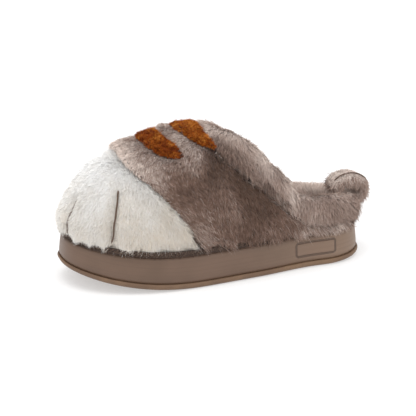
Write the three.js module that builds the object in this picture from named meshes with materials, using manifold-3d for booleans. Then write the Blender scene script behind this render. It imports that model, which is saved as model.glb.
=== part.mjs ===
// A plush clog slipper for a left foot, shaped as a cat's paw: a padded fur upper on a moulded foam sole.
// X runs to the toe, Y to the wearer's left, which is the outer side, and Z up.
// The origin is on the floor under the middle of the sole. Everything is in millimetres.

import * as THREE from "three";
import Module from "manifold-3d";
import { LoftGeometry } from "three/addons/geometries/LoftGeometry.js";
import { mergeVertices } from "three/addons/utils/BufferGeometryUtils.js";

const wasm = await Module();
wasm.setup();

// The gap between two pieces that touch
const seat = 0.3;

// Sole
const soleLength = 264;
const ballHalfOuter = 57;
const ballHalfInner = 53;
const heelHalf = 40;
const soleHeight = 27.5;
const outsoleHeight = 5.2;
const toeLiftUnder = 16.4;
const toeLiftRim = 12.5;
const heelLift = 2.3;
const rimWidth = 12.5;
const footbedDepth = 9.5;
const insoleThickness = 6.5;
const insoleRound = 2;
const treadDepth = 1.6;
const treadWidth = 3.4;
const treadPitch = 15;
const treadReach = 68;

// Upper
const crownHeight = 127;
const upperOverhang = 1.5;
const heelTuck = 3;
const sideWall = 8;
const crownWall = 14;
const capStepSide = 2.2;
const capStepCrown = 9;
const capPile = 5;
const tuck = 0.4;
const stripePile = 4;
const stripeProud = 1;
const weltHeight = 4.4;
const weltWidth = 2.6;
const weltInset = 4.6;
const beyond = 20;

// Collar, a padded roll round the mouth
const mouthSetIn = 11;
const mouthHeel = mouthSetIn - soleLength / 2;
const mouthToe = 5;
const mouthHalf = 29;
const rollRadius = 13.5;
const innerDrop = 6;
const rollLock = 1.1;
const rollLocks = 16;
const rollStands = 0.44;
const rollRests = 0.65;

// Pull loop, an arched band over the back of the collar
const loopBack = 3.5;
const loopBand = 7.5;
const loopWidth = 18;
const loopReach = 17.5;
const loopTop = 69;
const loopRise = 14;

// Locks of fur that hang over the sole's rim
const lockLength = 18;
const lockWidth = 17;
const lockThickness = 2.6;
const lockRoot = 10.4;
const hemLockPairs = 18;

// How the solids are cut into flat faces
const soleStations = 30;
const upperStations = 28;
const upperSides = 30;
const hiddenStations = 18;
const hiddenSides = 20;
const rollStations = 48;
const rollSides = 12;

// Half width of the sole along its length, from the heel at 0 to the toe at 1.
// ball: the share of the way from the heel's half width to the ball's. fill: a share of the result.
const soleOutline = [
  { at: 0.0, ball: 0.0, fill: 0.97 },
  { at: 0.17, ball: 0.0, fill: 1.0 },
  { at: 0.4, ball: 0.55, fill: 1.0 },
  { at: 0.68, ball: 1.0, fill: 1.0 },
  { at: 0.86, ball: 1.0, fill: 0.93 },
  { at: 1.0, ball: 1.0, fill: 0.8 },
];
const heelRound = { zone: 0.17, power: 2.4 };
const toeRound = { zone: 0.3, power: 2.54 };

// Side of the sole's layers from bottom to top. inset: how far in from the outline, as a share of
// rimWidth. height: share of outsoleHeight for the outsole, and of soleHeight for the midsole
const outsoleSide = [
  { inset: 0.256, height: 0 },
  { inset: 0.08, height: 0.27 },
  { inset: 0, height: 0.65 },
  { inset: 0.048, height: 1 },
];
const midsoleSide = [
  { inset: 0.176, height: 0.2 },
  { inset: 0.12, height: 0.28 },
  { inset: 0.152, height: 0.5 },
  { inset: 0.256, height: 0.88 },
  { inset: 0.368, height: 0.98 },
  { inset: 0.496, height: 1 },
];

// Stretches of the underside with grooves, as shares of the sole's length from its middle
const treadZones = [
  { from: -0.4, to: -0.2 },
  { from: 0.12, to: 0.38 },
];

// Sections of the fur's outer form, from heel to toe.
// width: share of the sole's half width. crown and middle: shares of crownHeight, for the top and
// for the widest place. square: how boxy the section is, where 2 is an ellipse.
const upperSections = [
  { at: 0.0, width: 0.97, crown: 0.42, middle: 0.34, square: 2.2 },
  { at: 0.13, width: 0.99, crown: 0.47, middle: 0.35, square: 2.3 },
  { at: 0.25, width: 1.02, crown: 0.5, middle: 0.36, square: 2.3 },
  { at: 0.33, width: 1.02, crown: 0.7, middle: 0.36, square: 2.2 },
  { at: 0.38, width: 1.01, crown: 0.82, middle: 0.36, square: 2.2 },
  { at: 0.43, width: 1.0, crown: 0.91, middle: 0.37, square: 2.1 },
  { at: 0.53, width: 1.0, crown: 0.985, middle: 0.39, square: 2.1 },
  { at: 0.6, width: 1.0, crown: 0.98, middle: 0.4, square: 2.1 },
  { at: 0.71, width: 0.99, crown: 0.925, middle: 0.42, square: 2.15 },
  { at: 0.8, width: 0.99, crown: 0.885, middle: 0.43, square: 2.2 },
  { at: 0.89, width: 1.0, crown: 0.875, middle: 0.43, square: 2.2 },
  { at: 0.94, width: 1.01, crown: 0.8, middle: 0.42, square: 2.2 },
  { at: 1.0, width: 1.04, crown: 0.68, middle: 0.4, square: 2.2 },
];
const upperToeRound = { zone: 0.24, power: 2.3 };
const upperHeelRound = { zone: 0.1, power: 2.3 };

// Centre line of the collar roll, from the heel at 0 to the instep at 1.
// half: share of mouthHalf. height: share of crownHeight. roll: share of rollRadius.
const mouthLine = [
  { at: 0.0, half: 0.95, height: 0.337, roll: 0.88 },
  { at: 0.06, half: 0.96, height: 0.35, roll: 0.9 },
  { at: 0.14, half: 0.97, height: 0.375, roll: 0.96 },
  { at: 0.32, half: 1.0, height: 0.382, roll: 1.0 },
  { at: 0.47, half: 1.05, height: 0.432, roll: 1.0 },
  { at: 0.6, half: 1.1, height: 0.577, roll: 1.0 },
  { at: 0.76, half: 1.1, height: 0.735, roll: 1.0 },
  { at: 0.88, half: 1.08, height: 0.85, roll: 1.0 },
  { at: 1.0, half: 1.05, height: 0.887, roll: 1.0 },
];
const mouthHeelRound = { zone: 0.26, power: 2.2 };
const mouthToeRound = { zone: 0.24, power: 2.0 };

// Side view of the toe cap's edge: x at the rim, x gained from there to the crown, and how evenly
const capFoot = 24;
const capRun = 86;
const capEven = 0.53;

// Rounding of the grey fur's edge at the top of the cap: shares of crownHeight, and mm along the slipper
const edgeLow = 0.78;
const edgeTop = 0.87;
const edgeCrown = 0.9;
const edgeLead = 3;
const edgeBack = 16;

// Stripes across the instep, as shares of soleLength. foot: x on the floor of the stripe's leaning
// middle plane. length: along the slipper. half: from the middle to either end
const stripeSlant = 1.3;
const stripeFrom = 0.7;
const stripes = [
  { name: "stripe_front", foot: -0.373, length: 0.088, half: 0.136 },
  { name: "stripe_rear", foot: -0.524, length: 0.088, half: 0.12 },
];

// A value read from a table's column at a place along it, on a smooth curve that never overshoots
function read(rows, column, at) {
  const slope = (i) => (rows[i + 1][column] - rows[i][column]) / (rows[i + 1].at - rows[i].at);
  const tangent = (i) => {
    if (i === 0) return slope(0);
    if (i === rows.length - 1) return slope(i - 1);
    const product = slope(i - 1) * slope(i);
    return product > 0 ? (2 * product) / (slope(i - 1) + slope(i)) : 0;
  };
  let i = 0;
  while (i < rows.length - 2 && at > rows[i + 1].at) i += 1;
  const span = rows[i + 1].at - rows[i].at;
  const t = THREE.MathUtils.clamp((at - rows[i].at) / span, 0, 1);
  return (
    rows[i][column] * (1 + 2 * t) * (1 - t) ** 2 +
    tangent(i) * span * t * (1 - t) ** 2 +
    rows[i + 1][column] * t * t * (3 - 2 * t) +
    tangent(i + 1) * span * t * t * (t - 1)
  );
}

// How far a form has opened from its rounded tip, 0 at the tip and 1 past the rounded zone
function opened(fromTip, round) {
  const left = 1 - THREE.MathUtils.clamp(fromTip / round.zone, 0, 1);
  return (1 - left ** round.power) ** (1 / round.power);
}

// Places from 0 to 1 that crowd towards both ends, where a form rounds off
function crowded(count) {
  return Array.from({ length: count + 1 }, (_, i) => (1 - Math.cos((Math.PI * i) / count)) / 2);
}

function solid(geometry) {
  const bare = new THREE.BufferGeometry();
  bare.setAttribute("position", geometry.attributes.position);
  bare.setIndex(geometry.index);
  const merged = mergeVertices(bare, 1e-4);
  const corners = merged.index.array;
  const kept = [];
  for (let i = 0; i < corners.length; i += 3) {
    const [a, b, c] = [corners[i], corners[i + 1], corners[i + 2]];
    if (a !== b && b !== c && c !== a) kept.push(a, b, c);
  }
  const mesh = new wasm.Mesh({
    numProp: 3,
    vertProperties: new Float32Array(merged.attributes.position.array),
    triVerts: new Uint32Array(kept),
  });
  return new wasm.Manifold(mesh);
}

const slipper = new THREE.Group();

function addPiece(name, form, material) {
  const mesh = form.getMesh();
  const geometry = new THREE.BufferGeometry();
  geometry.setAttribute("position", new THREE.BufferAttribute(mesh.vertProperties, 3));
  geometry.setIndex(new THREE.BufferAttribute(mesh.triVerts, 1));
  const piece = new THREE.Mesh(geometry, material);
  piece.name = name;
  slipper.add(piece);
}

const finish = (color, roughness) => new THREE.MeshStandardMaterial({ color, roughness, metalness: 0 });
const materials = {
  rubber: finish(0x8b6f52, 0.75),
  foam: finish(0x7c675a, 0.6),
  lining: finish(0x9a8a82, 0.95),
  greyFur: finish(0x8f7f78, 1),
  whiteFur: finish(0xe4e0d9, 1),
  gingerFur: finish(0xa55a16, 1),
  collarFur: finish(0xa8958a, 1),
  binding: finish(0x4f4038, 0.95),
};

// Sole

// The sole curls up under the toe and a little under the heel. share: 0 at its foot, 1 at its rim
function soleLift(x, share) {
  const toe = THREE.MathUtils.clamp((x / soleLength - 0.1) / 0.4, 0, 1);
  const heel = THREE.MathUtils.clamp((-x / soleLength - 0.36) / 0.14, 0, 1);
  return THREE.MathUtils.lerp(toeLiftUnder, toeLiftRim, share) * toe ** 2 + heelLift * heel ** 2;
}

function soleHalf(at, outer) {
  const ballHalf = outer ? ballHalfOuter : ballHalfInner;
  const flat = THREE.MathUtils.lerp(heelHalf, ballHalf, read(soleOutline, "ball", at));
  return flat * read(soleOutline, "fill", at);
}

const soleOpened = (at) => opened(at, heelRound) * opened(1 - at, toeRound);

// A point on the sole's outline, moved in from its edge
function solePoint(at, outer, inset, height) {
  const half = (soleHalf(at, outer) - inset) * soleOpened(at);
  const x = (at - 0.5) * (soleLength - 2 * inset);
  const share = THREE.MathUtils.clamp(height / soleHeight, 0, 1);
  return new THREE.Vector3(x, outer ? half : -half, height + soleLift(x, share));
}

// A flat-topped block with the sole's outline. rows: its side from bottom to top
function soleBlock(rows, stations = soleStations) {
  const sections = crowded(stations).map((at) => {
    const outer = rows.map((row) => solePoint(at, true, row.inset, row.height));
    const inner = rows.map((row) => solePoint(at, false, row.inset, row.height));
    return [...outer, ...inner.reverse()];
  });
  return solid(new LoftGeometry(sections));
}

// Straight grooves across the tread, each at the height of the sole over it
function treadGrooves() {
  return treadZones.flatMap((zone) => {
    const count = Math.ceil(((zone.to - zone.from) * soleLength) / treadPitch);
    return Array.from({ length: count }, (_, i) => {
      const x = zone.from * soleLength + i * treadPitch;
      const box = new THREE.BoxGeometry(treadWidth, treadReach, 2 * treadDepth);
      return solid(box.translate(x, 0, soleLift(x, 0)));
    });
  });
}

// A table's side profile at its real height
const sized = (rows, full) => rows.map((row) => ({ inset: row.inset * rimWidth, height: row.height * full }));

function makeOutsole() {
  const body = soleBlock(sized(outsoleSide, outsoleHeight));
  const cut = treadGrooves().reduce((form, groove) => form.subtract(groove), body);
  addPiece("outsole", cut, materials.rubber);
}

const footbed = soleHeight - footbedDepth;

function makeMidsole() {
  const body = soleBlock(sized(midsoleSide, soleHeight));
  const recess = soleBlock([
    { inset: rimWidth, height: footbed },
    { inset: rimWidth, height: soleHeight + beyond },
  ]);
  addPiece("midsole", body.subtract(recess), materials.foam);
}

function makeInsole() {
  const body = soleBlock(
    [
      { inset: rimWidth + seat, height: footbed + seat },
      { inset: rimWidth + seat, height: footbed + insoleThickness - insoleRound },
      { inset: rimWidth + insoleRound, height: footbed + insoleThickness },
    ],
    24,
  );
  addPiece("insole", body, materials.lining);
}

// Upper

// Where a place along the fur's outer form is, grown by side at both ends
function upperX(at, side) {
  return THREE.MathUtils.lerp(heelTuck - soleLength / 2 - side, soleLength / 2 + upperOverhang + side, at);
}

// A point of the fur's outer form, grown by side outwards and by rise upwards. angle: 0 at the left
function upperPoint(at, angle, side, rise) {
  const x = upperX(at, side);
  const wide = opened(at, heelRound) * opened(1 - at, toeRound);
  const tall = opened(at, upperHeelRound) * opened(1 - at, upperToeRound);
  const middle = read(upperSections, "middle", at) * crownHeight;
  const top = read(upperSections, "crown", at) * crownHeight + rise;
  const foot = tuck * (soleHeight + soleLift(x, 1)) - side;
  const power = 2 / read(upperSections, "square", at);
  const across = Math.cos(angle);
  const high = Math.sin(angle);
  const half = soleHalf(at, across > 0) * read(upperSections, "width", at) + side;
  const reach = (high > 0 ? top - middle : middle - foot) * tall;
  const y = Math.sign(across) * half * wide * Math.abs(across) ** power;
  const z = middle + Math.sign(high) * reach * Math.abs(high) ** power;
  return new THREE.Vector3(x, y, z);
}

function upperForm(side, rise, stations = upperStations, sides = upperSides) {
  const sections = crowded(stations).map((at) =>
    Array.from({ length: sides }, (_, i) => upperPoint(at, (2 * Math.PI * (i + 0.5)) / sides, side, rise)),
  );
  return solid(new LoftGeometry(sections));
}

// Short locks of fur hang over the rim all round the foot of a form
function hemLocks(side, rise) {
  const places = crowded(hemLockPairs).slice(1, -1);
  return places.flatMap((at) =>
    [1, -1].map((hand) => {
      const level = soleHeight + soleLift(upperX(at, side), 1) + seat + lockRoot;
      const sidePoint = (place, fall) => upperPoint(place, hand > 0 ? -fall : Math.PI + fall, side, rise);
      const step = Math.PI / 160;
      let fall = 0;
      while (fall < Math.PI / 2 && sidePoint(at, fall).z > level) fall += step;
      const root = sidePoint(at, fall);
      const ahead = sidePoint(at + step / 4, fall).sub(sidePoint(at - step / 4, fall));
      const along = ahead.setZ(0).normalize();
      const out = new THREE.Vector3(-along.y, along.x, 0).multiplyScalar(hand);
      const geometry = new THREE.OctahedronGeometry(0.5, 0).scale(lockWidth, lockThickness, lockLength);
      geometry.applyMatrix4(new THREE.Matrix4().makeBasis(along, out, new THREE.Vector3(0, 0, hand)));
      geometry.translate(root.x, root.y, root.z);
      return solid(geometry);
    }),
  );
}

// A side view outline pushed across the whole slipper
function acrossSlipper(shape) {
  const reach = 4 * ballHalfOuter;
  const geometry = new THREE.ExtrudeGeometry(shape, { depth: reach, bevelEnabled: false, curveSegments: 6 });
  geometry.rotateX(Math.PI / 2).translate(0, reach / 2, 0);
  return solid(geometry);
}

function capEdge(z) {
  const share = (z - soleHeight) / (crownHeight - soleHeight);
  return capFoot + capRun * (capEven * share + (1 - capEven) * share ** 2);
}

// Everything in front of the cap's edge, moved forwards by gap
function inFrontOfCapEdge(gap) {
  const shape = new THREE.Shape();
  shape.moveTo(2 * soleLength, 0);
  shape.lineTo(2 * soleLength, 2 * crownHeight);
  for (let z = 1.2 * crownHeight; z >= 0; z -= 0.1 * crownHeight) shape.lineTo(capEdge(z) + gap, z);
  return acrossSlipper(shape);
}

// The grey fur ends over the cap in a rounded edge
function roundedGreyEdge() {
  const low = edgeLow * crownHeight;
  const top = edgeTop * crownHeight;
  const back = capEdge(top) - edgeBack;
  const shape = new THREE.Shape();
  shape.moveTo(capEdge(low), low);
  shape.quadraticCurveTo(capEdge(top) - edgeLead, top, back, edgeCrown * crownHeight);
  shape.lineTo(back, 2 * crownHeight);
  shape.lineTo(2 * soleLength, 2 * crownHeight);
  shape.lineTo(2 * soleLength, low);
  return acrossSlipper(shape);
}

// A stripe's plan, a band with round ends, pushed up along its lean
function stripePrism(stripe, grow) {
  const foot = stripe.foot * soleLength;
  const round = (stripe.length / 2) * soleLength;
  const straight = stripe.half * soleLength - round;
  const band = new THREE.Shape();
  band.absarc(foot, straight, round + grow, 0, Math.PI, false);
  band.absarc(foot, -straight, round + grow, Math.PI, 2 * Math.PI, false);
  const settings = { depth: crownHeight, bevelEnabled: false, curveSegments: 9 };
  const geometry = new THREE.ExtrudeGeometry(band, settings);
  const lean = new THREE.Matrix4().makeShear(0, 0, 0, 0, stripeSlant, 0);
  return solid(geometry.translate(0, 0, stripeFrom * crownHeight).applyMatrix4(lean));
}

// Collar

function mouthPoint(turn) {
  const at = (1 - Math.cos(turn)) / 2;
  const round = opened(at, mouthHeelRound) * opened(1 - at, mouthToeRound);
  const half = mouthHalf * read(mouthLine, "half", at) * round;
  const x = THREE.MathUtils.lerp(mouthHeel, mouthToe, at);
  const y = Math.sign(Math.sin(turn)) * half;
  const drop = innerDrop * THREE.MathUtils.smoothstep(-y / mouthHalf, 0, 1);
  return new THREE.Vector3(x, y, read(mouthLine, "height", at) * crownHeight - drop);
}

// The roll's section stays square to its line, and its fur stands in locks round it
function collarRoll(grow, locks) {
  const sections = [];
  for (let i = 0; i < rollStations; i += 1) {
    const turn = (2 * Math.PI * i) / rollStations;
    const step = Math.PI / rollStations;
    const centre = mouthPoint(turn);
    const along = mouthPoint(turn + step).sub(mouthPoint(turn - step)).normalize();
    const out = new THREE.Vector3().crossVectors(along, new THREE.Vector3(0, 0, 1)).normalize();
    const up = new THREE.Vector3().crossVectors(out, along);
    const points = [];
    for (let j = 0; j < rollSides; j += 1) {
      const angle = (-2 * Math.PI * j) / rollSides;
      const lock = locks * Math.max(0, Math.sin(angle)) * Math.cos(rollLocks * turn + 2 * angle);
      const radius = rollRadius * read(mouthLine, "roll", (1 - Math.cos(turn)) / 2) + grow + lock;
      const reach = out.clone().multiplyScalar(radius * Math.cos(angle));
      points.push(reach.addScaledVector(up, radius * Math.sin(angle)).add(centre));
    }
    sections.push(points);
  }
  sections.push(sections[0].map((point) => point.clone()));
  return solid(new LoftGeometry(sections));
}

// The mouth is cut straight down through the collar's centre line
function mouthCut() {
  const shape = new THREE.Shape();
  for (let i = 0; i < rollStations; i += 1) {
    const point = mouthPoint((2 * Math.PI * i) / rollStations);
    if (i === 0) shape.moveTo(point.x, point.y);
    else shape.lineTo(point.x, point.y);
  }
  const geometry = new THREE.ExtrudeGeometry(shape, { depth: 2 * crownHeight, bevelEnabled: false });
  return solid(geometry.translate(0, 0, soleHeight));
}

// Behind the instep the fur stops under the roll, so that the roll rests on its edge
function heelCut() {
  const shape = new THREE.Shape();
  const far = 2 * soleLength;
  shape.moveTo(-far, far);
  for (let i = 0; i <= rollSides; i += 1) {
    const at = THREE.MathUtils.lerp(-rollStands, rollStands, i / rollSides);
    const under = rollRests * rollRadius * read(mouthLine, "roll", at);
    const x = THREE.MathUtils.lerp(mouthHeel, mouthToe, at);
    shape.lineTo(x, read(mouthLine, "height", at) * crownHeight - under);
  }
  shape.lineTo(THREE.MathUtils.lerp(mouthHeel, mouthToe, rollStands), far);
  return acrossSlipper(shape);
}

// The binding strip that closes the foot of the fur against the rim
function weltRing(grow) {
  const height = soleHeight + seat;
  const outside = soleBlock([
    { inset: weltInset - weltWidth / 2 - grow, height: height - grow },
    { inset: weltInset - weltWidth / 2 - grow, height: height + weltHeight + grow },
  ]);
  const inside = soleBlock([
    { inset: weltInset + weltWidth / 2 + grow, height: height - beyond },
    { inset: weltInset + weltWidth / 2 + grow, height: height + weltHeight + beyond },
  ]);
  return outside.subtract(inside);
}

const join = (form, others) => others.reduce((total, other) => total.add(other), form);

// The largest body of a form, without the slivers that a cut can leave beside it
function whole(form) {
  return form.decompose().reduce((best, body) => (body.volume() > best.volume() ? body : best));
}

const rim = soleBlock([
  { inset: -beyond, height: -beyond },
  { inset: -beyond, height: soleHeight + seat },
]);
const roll = collarRoll(seat, rollLock);

function makeWelt() {
  addPiece("welt", whole(weltRing(0).subtract(roll)), materials.binding);
}

function makeCollar() {
  addPiece("collar", collarRoll(0, rollLock).subtract(rim), materials.collarFur);
}

// The cap is the space between two forms, in front of its edge
function makeToeCap() {
  const outer = join(upperForm(-capStepSide, -capStepCrown), hemLocks(-capStepSide, -capStepCrown));
  const inner = upperForm(-capStepSide - capPile, -capStepCrown - capPile, hiddenStations, hiddenSides);
  const shell = outer.subtract(inner).intersect(inFrontOfCapEdge(seat));
  addPiece("toe_cap", whole(shell.subtract(rim).subtract(weltRing(seat))), materials.whiteFur);
}

function makeStripes() {
  const outer = upperForm(stripeProud, stripeProud);
  const inner = upperForm(-stripePile, -stripePile);
  for (const stripe of stripes) {
    const patch = outer.subtract(inner).intersect(stripePrism(stripe, 0)).subtract(roll);
    addPiece(stripe.name, whole(patch), materials.gingerFur);
  }
}

// Grey fur behind the cap's edge, the lining's wall under the cap, hollow for the foot
function makeUpper() {
  const side = -capStepSide - capPile - seat;
  const underCap = upperForm(side, -capStepCrown - capPile - seat, hiddenStations, hiddenSides);
  const foot = upperForm(-capStepSide - sideWall, -crownWall - capStepSide, hiddenStations, hiddenSides);
  const fur = join(upperForm(0, 0), hemLocks(0, 0));
  const grey = fur.subtract(inFrontOfCapEdge(0)).subtract(roundedGreyEdge());
  const shell = grey.add(underCap).subtract(foot).subtract(rim).subtract(mouthCut()).subtract(heelCut());
  const stripeFloor = upperForm(-stripePile - seat, -stripePile - seat);
  const body = stripes.reduce(
    (form, stripe) => form.subtract(stripePrism(stripe, seat).subtract(stripeFloor)),
    shell.subtract(roll).subtract(weltRing(seat)),
  );
  addPiece("upper", whole(body), materials.greyFur);
}

// A plush band bent into an arch over the back of the collar, its ends sewn in under the roll
function makeLoop() {
  const middle = mouthHeel - loopBack;
  const base = loopTop - loopRise;
  const turned = 1.3 * Math.PI;
  const arch = new THREE.Shape();
  arch.absellipse(middle, base, loopReach, loopRise, turned, 0, true);
  arch.lineTo(middle + loopReach, base - rollRadius);
  arch.lineTo(middle + loopReach - loopBand, base - rollRadius);
  arch.absellipse(middle, base, loopReach - loopBand, loopRise - loopBand, 0, turned, false);
  const settings = { depth: loopWidth, bevelEnabled: false, curveSegments: 12 };
  const geometry = new THREE.ExtrudeGeometry(arch, settings);
  geometry.rotateX(Math.PI / 2).translate(0, loopWidth / 2, 0);
  const fur = upperForm(seat, seat).add(roll);
  addPiece("pull_loop", whole(solid(geometry).subtract(fur)), materials.collarFur);
}

makeOutsole();
makeMidsole();
makeInsole();
makeWelt();
makeToeCap();
makeStripes();
makeUpper();
makeCollar();
makeLoop();

export default slipper;
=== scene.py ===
import math

import bmesh
import bpy
import numpy as np
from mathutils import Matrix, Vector
from mathutils.bvhtree import BVHTree
from mathutils.kdtree import KDTree


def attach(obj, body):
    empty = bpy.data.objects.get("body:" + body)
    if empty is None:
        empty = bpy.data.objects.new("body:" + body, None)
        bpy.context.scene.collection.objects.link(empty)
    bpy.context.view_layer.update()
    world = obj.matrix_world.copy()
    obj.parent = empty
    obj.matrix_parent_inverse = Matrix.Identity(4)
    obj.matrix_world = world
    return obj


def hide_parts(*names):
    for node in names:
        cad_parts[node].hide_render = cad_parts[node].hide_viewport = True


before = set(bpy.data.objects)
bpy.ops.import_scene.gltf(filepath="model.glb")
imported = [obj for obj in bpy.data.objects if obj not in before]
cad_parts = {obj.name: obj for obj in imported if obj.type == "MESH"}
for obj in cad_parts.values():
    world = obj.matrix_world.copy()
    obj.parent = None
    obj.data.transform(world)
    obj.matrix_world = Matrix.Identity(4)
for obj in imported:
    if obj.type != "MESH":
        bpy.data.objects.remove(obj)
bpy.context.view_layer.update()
scene = bpy.context.scene

# Camera. A studio view of the outer side, a little from the front and from above, with a long lens
# from just over a metre away.
camera_at = Vector((0.3336, 0.9856, 0.3881))
camera_aim = Vector((0.0, 0.0, 0.05))
camera_lens = 112
camera_shift = (-0.0075, -0.0041)

camera = bpy.data.objects.new("camera", bpy.data.cameras.new("camera"))
camera.data.lens = camera_lens
camera.data.sensor_width = 36
camera.data.shift_x, camera.data.shift_y = camera_shift
camera.location = camera_at
camera.rotation_euler = (camera_aim - camera_at).to_track_quat("-Z", "Y").to_euler()
scene.collection.objects.link(camera)
scene.camera = camera
scene.view_settings.view_transform = "Standard"

# Studio. A pale paper floor, lit a little from below as a light table is, under a broad soft light
# from above and a weaker one on each side.
paper = (0.6, 0.6, 0.6, 1)
paper_grain = (0.57, 0.57, 0.57, 1)
paper_glow = 0.42
floor_radius = 4
lamps = [
    ("top_light", (0.15, 0.1, 1.25), 1.0, 8),
    ("front_light", (1.1, 0.75, 0.6), 0.7, 1),
    ("heel_light", (-0.9, 0.9, 0.5), 0.7, 1),
]

for name, place, size, power in lamps:
    lamp = bpy.data.objects.new(name, bpy.data.lights.new(name, "AREA"))
    lamp.data.size = size
    lamp.data.energy = power
    lamp.location = place
    lamp.rotation_euler = (camera_aim - lamp.location).to_track_quat("-Z", "Y").to_euler()
    scene.collection.objects.link(lamp)

scene.world = bpy.data.worlds.new("studio")
scene.world.use_nodes = True
scene.world.node_tree.nodes["Background"].inputs["Color"].default_value = (1, 1, 1, 1)
scene.world.node_tree.nodes["Background"].inputs["Strength"].default_value = 1.0


class Link:
    """A socket of a material, with arithmetic that adds the Math nodes."""

    def __init__(self, tree, socket):
        self.tree = tree
        self.socket = socket

    def node(self, kind, settings, sockets, output=0):
        made = self.tree.nodes.new(kind)
        for setting, value in settings.items():
            if setting == "stops":
                for place, colour in value[2:]:
                    made.color_ramp.elements.new(place)
                for stop, (place, colour) in zip(made.color_ramp.elements, value):
                    stop.position = place
                    stop.color = colour
            else:
                setattr(made, setting, value)
        for socket, value in sockets.items():
            if isinstance(value, Link):
                self.tree.links.new(value.socket, made.inputs[socket])
            else:
                made.inputs[socket].default_value = value
        return Link(self.tree, made.outputs[output])

    def maths(self, operation, first, second=0.0):
        return self.node("ShaderNodeMath", {"operation": operation}, {0: first, 1: second})

    def __add__(self, other):
        return self.maths("ADD", self, other)

    def __radd__(self, other):
        return self.maths("ADD", other, self)

    def __sub__(self, other):
        return self.maths("SUBTRACT", self, other)

    def __rsub__(self, other):
        return self.maths("SUBTRACT", other, self)

    def __mul__(self, other):
        return self.maths("MULTIPLY", self, other)

    def __rmul__(self, other):
        return self.maths("MULTIPLY", other, self)

    def __truediv__(self, other):
        return self.maths("DIVIDE", self, other)

    def __pow__(self, other):
        return self.maths("POWER", self, other)

    def __abs__(self):
        return self.maths("ABSOLUTE", self)

    def most(self, other):
        return self.maths("MAXIMUM", self, other)

    def between(self, low, high):
        """0 below low, 1 above high, and smooth from one to the other."""
        steps = {"interpolation_type": "SMOOTHSTEP"}
        return self.node("ShaderNodeMapRange", steps, {"Value": self, "From Min": low, "From Max": high})


def paint(code):
    """A colour as the shader wants it, from its six-figure code."""
    parts = [int(code[i : i + 2], 16) / 255 for i in (1, 3, 5)]
    return (*((p / 12.92 if p <= 0.04045 else ((p + 0.055) / 1.055) ** 2.4) for p in parts), 1)


def material(name, roughness, sheen=0.0):
    """A new material, the shader's own node and the first link of its tree."""
    made = bpy.data.materials.new(name)
    made.use_nodes = True
    shader = made.node_tree.nodes["Principled BSDF"]
    shader.inputs["Roughness"].default_value = roughness
    shader.inputs["Sheen Weight"].default_value = sheen
    return made, shader, Link(made.node_tree, None)


def feed(shader, socket, link):
    shader.id_data.links.new(link.socket, shader.inputs[socket])


def mix(link, share, first, second):
    settings = {"data_type": "RGBA"}
    return link.node("ShaderNodeMix", settings, {0: share, 6: first, 7: second}, output=2)


def noise(link, place, scale, detail=2.0):
    sockets = {"Vector": place, "Scale": scale, "Detail": detail}
    return link.node("ShaderNodeTexNoise", {"noise_dimensions": "3D"}, sockets)


floor_paint, shader, link = material("paper", 0.9)
where = link.node("ShaderNodeTexCoord", {}, {}, output="Object")
grain = noise(link, where, 400)
feed(shader, "Base Color", mix(link, grain, paper_grain, paper))
shader.inputs["Emission Color"].default_value = (1, 1, 1, 1)
shader.inputs["Emission Strength"].default_value = paper_glow
feed(shader, "Normal", link.node("ShaderNodeBump", {}, {"Height": grain, "Distance": 0.0001}))

bm = bmesh.new()
bmesh.ops.create_circle(bm, cap_ends=True, radius=floor_radius, segments=96)
floor = bpy.data.objects.new("floor", bpy.data.meshes.new("floor"))
bm.to_mesh(floor.data)
bm.free()
floor.data.materials.append(floor_paint)
scene.collection.objects.link(floor)


# Outsole. The tan rubber layer that meets the floor, moulded as a shallow cup a little wider than
# the foam above it and glued to it, with straight grooves under the ball and the heel.
sole_length = 0.264
ball_outer = 0.057
ball_inner = 0.053
heel_half = 0.040
sole_height = 0.0275
toe_lift_under = 0.0164
toe_lift_rim = 0.0125
heel_lift = 0.0023
outsole_height = 0.0052
ball_share = [(0.0, 0.0), (0.17, 0.0), (0.4, 0.55), (0.68, 1.0), (0.86, 1.0), (1.0, 1.0)]
fullness = [(0.0, 0.97), (0.17, 1.0), (0.4, 1.0), (0.68, 1.0), (0.86, 0.93), (1.0, 0.8)]
outsole_side = [(0.0, 3.2, 0.0), (0.33, 1.0, 0.27), (0.67, 0.0, 0.65), (1.0, 0.6, 1.0)]
groove_depth = 0.0016
groove_width = 0.0034
groove_reach = 0.034
groove_pitch = 0.015
groove_zones = [(-0.4, -0.2), (0.12, 0.38)]
stations = 150
strips = 12
sharp_bend = 40


def along(rows, at):
    """The value of (place, value) rows at a place, on a smooth curve that never overshoots."""
    places = [row[0] for row in rows]
    values = [row[1] for row in rows]
    slopes = [(values[i + 1] - values[i]) / (places[i + 1] - places[i]) for i in range(len(rows) - 1)]
    ties = [slopes[0]]
    for before, after in zip(slopes, slopes[1:]):
        ties.append(2 * before * after / (before + after) if before * after > 0 else 0)
    ties.append(slopes[-1])
    i = 0
    while i < len(rows) - 2 and at > places[i + 1]:
        i += 1
    span = places[i + 1] - places[i]
    t = min(max((at - places[i]) / span, 0), 1)
    start = values[i] * (1 + 2 * t) * (1 - t) ** 2 + ties[i] * span * t * (1 - t) ** 2
    return start + values[i + 1] * t * t * (3 - 2 * t) + ties[i + 1] * span * t * t * (t - 1)


def opened(from_tip, zone, power):
    left = 1 - min(max(from_tip / zone, 0), 1)
    return (1 - left**power) ** (1 / power)


def sole_lift(x, share):
    toe = min(max((x / sole_length - 0.1) / 0.4, 0), 1)
    heel = min(max((-x / sole_length - 0.36) / 0.14, 0), 1)
    return (toe_lift_under + (toe_lift_rim - toe_lift_under) * share) * toe**2 + heel_lift * heel**2


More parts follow.
